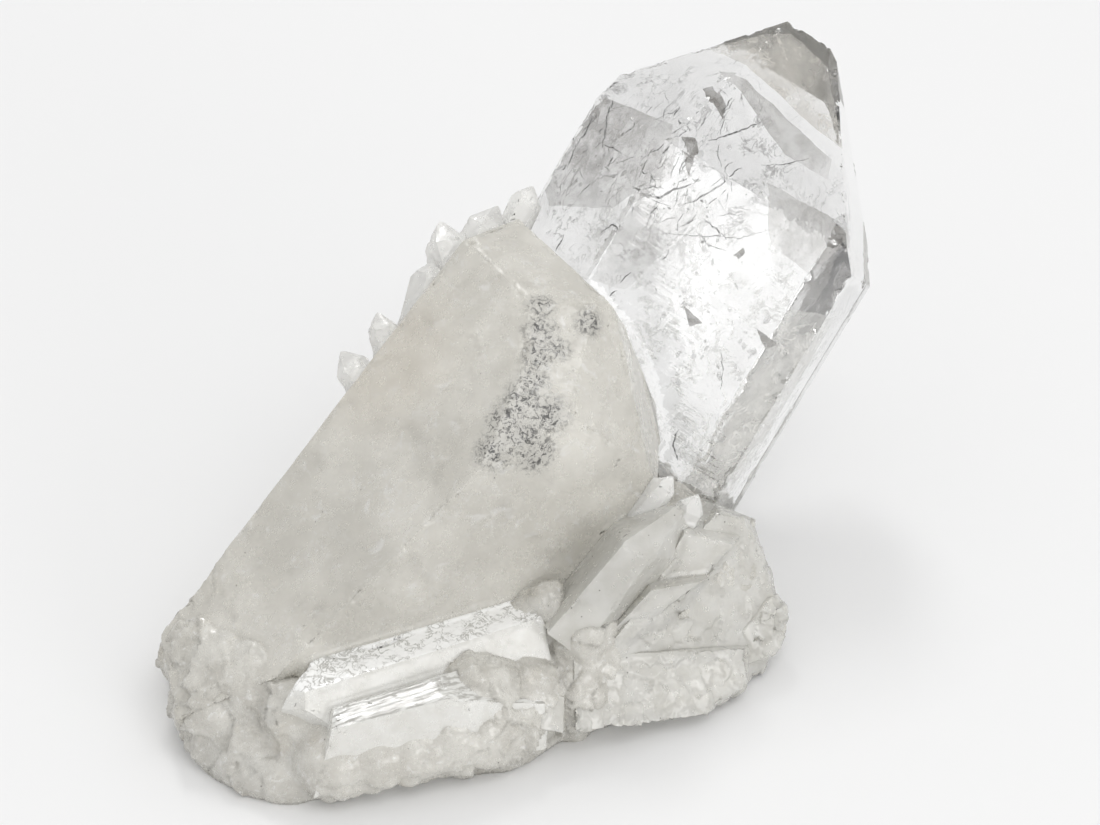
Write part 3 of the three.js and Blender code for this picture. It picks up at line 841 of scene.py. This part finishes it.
def inner_flakes(interior, name, centre, reach, count, sizes, material, seed, lean=50):
    """Small irregular plates spread through a region: little inner cracks that catch light."""
    rng = random.Random(seed)
    bm = bmesh.new()
    for _ in range(count):
        spot = [rng.gauss(0, 0.45) for _ in range(3)]
        place = in_plane(*(c + s * r for c, s, r in zip(centre, spot, reach)))
        size = rng.uniform(*sizes) * (0.5 + rng.random() ** 2)
        place = interior.keep(place, size + 0.4)
        turn = Matrix.Rotation(math.radians(rng.uniform(-lean, lean)), 3, RIGHT)
        turn = Matrix.Rotation(math.radians(rng.uniform(-lean, lean)), 3, UP) @ turn
        corners = rng.randint(5, 8)
        squash = rng.uniform(0.3, 0.9)
        twist = rng.uniform(0, math.pi)
        outline = []
        for k in range(corners):
            a = 2 * math.pi * k / corners
            r = size * rng.uniform(0.55, 1.0)
            flat = Vector((r * math.cos(a), r * squash * math.sin(a)))
            x = flat.x * math.cos(twist) - flat.y * math.sin(twist)
            y = flat.x * math.sin(twist) + flat.y * math.cos(twist)
            outline.append(place + turn @ (RIGHT * x + UP * y) * MM)
        thin_plate(bm, outline, 0.04)
    bmesh.ops.recalc_face_normals(bm, faces=bm.faces)
    return new_piece(name, bm, material)


CRACKS = [  # depth, width, then (right, up) places along the line
    (5, 0.30, [(12.8, 31.0), (14.8, 30.6), (17.7, 32.0), (19.6, 32.6)]),
    (5, 0.20, [(13.7, 32.6), (14.8, 35.0)]),
    (6, 0.30, [(17.7, 29.7), (19.9, 30.2), (23.2, 32.2), (26.2, 33.9)]),
    (4, 0.25, [(21.7, 37.8), (24.7, 38.8), (29.5, 41.0)]),
    (4, 0.20, [(11.1, 39.2), (13.3, 40.3)]),
    (4, 0.20, [(17.7, 40.7), (18.7, 42.3)]),
    (5, 0.15, [(8.9, 34.5), (9.6, 33.7)]),
    (4, 0.15, [(4.0, 26.7), (4.5, 27.1)]),
    (7, 0.15, [(13.3, 25.6), (16.3, 26.0), (19.2, 25.6), (23.6, 25.6), (26.2, 25.3), (31.3, 26.7)]),
    (6, 0.15, [(19.9, 26.7), (22.1, 24.2), (24.7, 23.4)]),
    (5, 0.25, [(21.4, 27.8), (23.2, 26.4), (24.7, 24.9)]),
    (3, 0.20, [(9.3, 44.0), (8.9, 42.1), (8.2, 37.4)]),
    (3, 0.20, [(7.5, 42.5), (4.5, 38.1), (3.1, 34.5)]),
    (5, 0.15, [(29.1, 34.5), (32.4, 34.8), (36.4, 35.9)]),
    (4, 0.20, [(24.0, 9.5), (24.5, 6.5), (24.1, 3.6)]),
    (2, 0.30, [(18.3, -2.2), (17.4, -4.1), (18.1, -6.7)]),
]


GREY_PLANES = (  # centre and reach, and the corners, of growth planes that show as grey facets
    ((9, 28, 9), [(14.8, 34.9), (5.7, 18.9), (10.5, 17.5), (17, 24), (23, 31.4)]),
    ((9, 41, 13), [(8.2, 44.4), (17.6, 39.7), (16.8, 33), (9.5, 28.5), (0.6, 29.4), (-0.5, 32),
                   (3.4, 40)]),
    ((31, 43, 11), [(24.4, 48.2), (27.5, 47.3), (40, 36), (39.5, 33), (33, 36.5)]),
    ((36, 30, 9), [(30.3, 32.2), (40.3, 27), (42.3, 24.9), (37, 20), (31, 24)]),
)
FEATHERS = (     # and of the small dark ones
    [(22.0, 45.4), (23.3, 45.6), (24.5, 43.2), (23.9, 41.1), (22.9, 43.1)],
    [(18.1, 38.2), (19.9, 38.2), (20.3, 36.3), (19.4, 33.5), (18.7, 35.6)],
    [(29.2, 12.2), (32.5, 9.8), (30.5, 9.4)],
    [(18.7, 15.3), (21.5, 12.8), (19.6, 12.6)],
    [(25.8, 22.4), (27.2, 23.5), (27.4, 22.9), (26.4, 22.0)],
)


VEIL_OUTLINE = [(34.2, 55.5), (21.6, 51.4), (10.8, 47.6), (7.4, 45.2), (3.8, 40.4), (-1.8, 32),
                (-3.6, 26), (6, 10), (15, -7), (22, -12), (26, -12), (44.6, 17.6), (42.2, 25),
                (39.8, 50.6)]  # the clear crystal's outline from the front
# a white sheet by the lower right side face: painted light that brightens that side, with real streaks
SIDE_PAINTED_LIGHT_SHEET = [(18, -10), (25.5, -13.5), (41, 14), (34, 15)]
TIP_VEIL = [(23, 52.5), (35, 55), (40.3, 50), (42, 38), (37.5, 41), (31, 47)]
BRIGHT_FLAKE = [(39.7, 26.8), (42.0, 28.6), (42.2, 25.4)]


def broad_veils(interior):
    """Grey, white and smoky sheets that cross the whole crystal."""
    grey = veil("inner_grey_veil", (0.66, 0.65, 0.65, 1), UPPER, 5.5, 0.02, 0.5, 0.08, 1.8)
    white = veil("inner_white_veil", (0.99, 0.99, 0.97, 1), MIDDLE, 4.0, 0.05, 0.45, 0.10)
    smoke = veil("inner_smoky_film", (0.62, 0.60, 0.58, 1), RIM, 7.0, 0.02, 0.1, 0.45)
    for name, haze, depths in (("grey_veil", grey, (2.5, 6.0, 10.0)),
                               ("white_veil", white, (3.5, 8.0)),
                               ("smoky_veil", smoke, (4.0,))):
        for n, depth in enumerate(depths):
            uneven = [depth + 1.2 * ((k * 5 + n) % 3) for k in range(len(VEIL_OUTLINE))]
            inner_sheet(interior, f"{name}_{n + 1}", VEIL_OUTLINE, uneven, haze, bow=1.8, step=1.6)


def pale_veils(interior):
    """Thin pale hazes along the lower right side and under the tip. The side haze is partly painted
    light: its white sheet stands for the brightness along that side face and covers a dark inner
    reflection there, and its thin lines are streaks in the quartz.
    """
    side_painted_light_haze = veil("inner_painted_light_side_sheet", (0.97, 0.96, 0.92, 1), LOW_RIGHT, 3.0, 0.06, 0.35, 0.5,
                least=0.12)
    tip = veil("inner_tip_veil", (0.95, 0.92, 0.86, 1), TIP, 4.0, 0.05, 0.35, 0.5, least=0.12)
    # painted light in part: this white sheet brightens the lower right side and hides a dark inner
    # reflection
    inner_sheet(interior, "painted_light_side_sheet", SIDE_PAINTED_LIGHT_SHEET, (1.5,) * 4, side_painted_light_haze, bow=0.4, step=1.0)
    inner_sheet(interior, "tip_veil", TIP_VEIL, (1.5,) * 6, tip, bow=0.4, step=1.0)


def growth_planes(interior):
    """Flat grey planes and small dark feathers."""
    for n, (centre, corners) in enumerate(GREY_PLANES):
        plane = film(f"inner_grey_plane_{n + 1}", (0.50, 0.48, 0.45, 1), 0.22, 0.5, centre)
        inner_sheet(interior, f"grey_plane_{n + 1}", corners, (3.0,) * len(corners), plane,
                    bow=0.3, step=1.2)
    feather = film("inner_dark_feather", (0.24, 0.22, 0.19, 1), 0.25, 0.7)
    for n, corners in enumerate(FEATHERS):
        inner_sheet(interior, f"dark_feather_{n + 1}", corners, (2.5, 3, 4, 4, 3.5)[:len(corners)],
                    feather, bow=0.2, step=0.6)


def cracks_and_flakes(interior):
    """Hairline cracks, one bright flake and scattered small flakes."""
    dark, bright = flake_dark(), flake_white()
    inner_sheet(interior, "bright_flake", BRIGHT_FLAKE, (2.5, 2, 2.5), bright, bow=0.1, step=0.6)
    crack_lines(interior, "inner_cracks", CRACKS, dark)
    crack_lines(interior, "inner_hairlines", stray_cracks(70, 8), dark)
    inner_flakes(interior, "white_flakes", (23, 13, -14), (11, 14, 6), 70, (0.3, 0.9), bright, 3)
    inner_flakes(interior, "upper_flakes", (17, 34, -12), (12, 9, 5), 60, (0.2, 0.8), bright, 4)
    inner_flakes(interior, "dark_flakes", (17, 33, -12), (12, 9, 5), 40, (0.12, 0.4), dark, 6, 75)


def inner_marks():
    """Everything that shows inside the clear crystal."""
    interior = Interior()
    broad_veils(interior)
    pale_veils(interior)
    growth_planes(interior)
    cracks_and_flakes(interior)


# ---------------------------------------------------------------- floor, light and camera
def floor():
    """A wide plain pale floor."""
    bm = bmesh.new()
    bmesh.ops.create_circle(bm, cap_ends=True, segments=96, radius=6)
    mesh = bpy.data.meshes.new("floor")
    bm.to_mesh(mesh)
    bm.free()
    s = Shader("floor_white")
    s.constants(Base_Color=(0.82, 0.82, 0.82, 1), Roughness=0.9, Specular_IOR_Level=0.2)
    mesh.materials.append(s.material)
    ground = bpy.data.objects.new("floor", mesh)
    bpy.context.scene.collection.objects.link(ground)


def soft_sky():
    """Nearly even light, a little brighter from above and the front."""
    world = bpy.data.worlds.new("soft_sky")
    bpy.context.scene.world = world
    world.use_nodes = True
    tree = world.node_tree
    place = tree.nodes.new("ShaderNodeTexCoord").outputs["Generated"]
    lift = tree.nodes.new("ShaderNodeVectorMath")
    lift.operation = "DOT_PRODUCT"
    lift.inputs[1].default_value = Vector((0.2, -0.5, 0.8)).normalized()
    tree.links.new(place, lift.inputs[0])
    spread = tree.nodes.new("ShaderNodeMapRange")
    spread.inputs["From Min"].default_value = -0.8
    spread.inputs["From Max"].default_value = 1.0
    spread.inputs["To Min"].default_value = 0.72
    spread.inputs["To Max"].default_value = 0.84
    tree.links.new(lift.outputs["Value"], spread.inputs["Value"])
    glow = tree.nodes["Background"]
    glow.inputs["Color"].default_value = (1.0, 1.0, 1.0, 1)
    tree.links.new(spread.outputs["Result"], glow.inputs["Strength"])


def soft_panel(name, place, aim, width, height, power):
    light = bpy.data.lights.new(name, "AREA")
    light.shape = "RECTANGLE"
    light.size, light.size_y = width, height
    light.energy = power
    lamp = bpy.data.objects.new(name, light)
    lamp.location = place
    lamp.rotation_euler = (Vector(aim) - Vector(place)).to_track_quat("-Z", "Y").to_euler()
    bpy.context.scene.collection.objects.link(lamp)


def lights():
    soft_sky()
    soft_panel("panel_front", (0.26, -0.42, 0.86), (0, 0, 0.03), 0.55, 0.45, 1.8)
    soft_panel("panel_right", (0.62, -0.80, 0.24), (0, 0, 0.03), 0.5, 0.4, 2.1)
    soft_panel("window_behind", (-0.13, 0.48, 0.85), (0, 0, 0.03), 0.16, 0.3, 1.5)


def camera():
    """Looks square onto the leaning plane from 430 mm."""
    lens = bpy.data.cameras.new("camera")
    lens.sensor_width = 36
    lens.lens = 36 * 430 / 154
    lens.clip_start = 0.01
    eye = bpy.data.objects.new("camera", lens)
    turn = Matrix((RIGHT, UP, OUT)).transposed().to_4x4()
    eye.matrix_world = Matrix.Translation(PLANE_MIDDLE + OUT * 0.430) @ turn
    bpy.context.scene.collection.objects.link(eye)
    bpy.context.scene.camera = eye


def picture_settings():
    scene = bpy.context.scene
    scene.view_settings.view_transform = "Standard"
    scene.cycles.max_bounces = 36
    scene.cycles.transmission_bounces = 36
    scene.cycles.transparent_max_bounces = 128


def build():
    glass, frosted = clear_quartz(), frosted_tip()
    milky, side, matrix = milky_quartz(), side_quartz(), matrix_quartz()
    main_crystal(glass)
    milky_crystal(milky)
    low_crystals(low_quartz(), etched_quartz_painted_light(), striped_quartz())
    small_milky_crystals(side)
    right_broken_pieces(side)
    small_clear_points(frosted)
    broken_base(matrix)
    inner_marks()
    floor()
    lights()
    camera()
    picture_settings()


build()
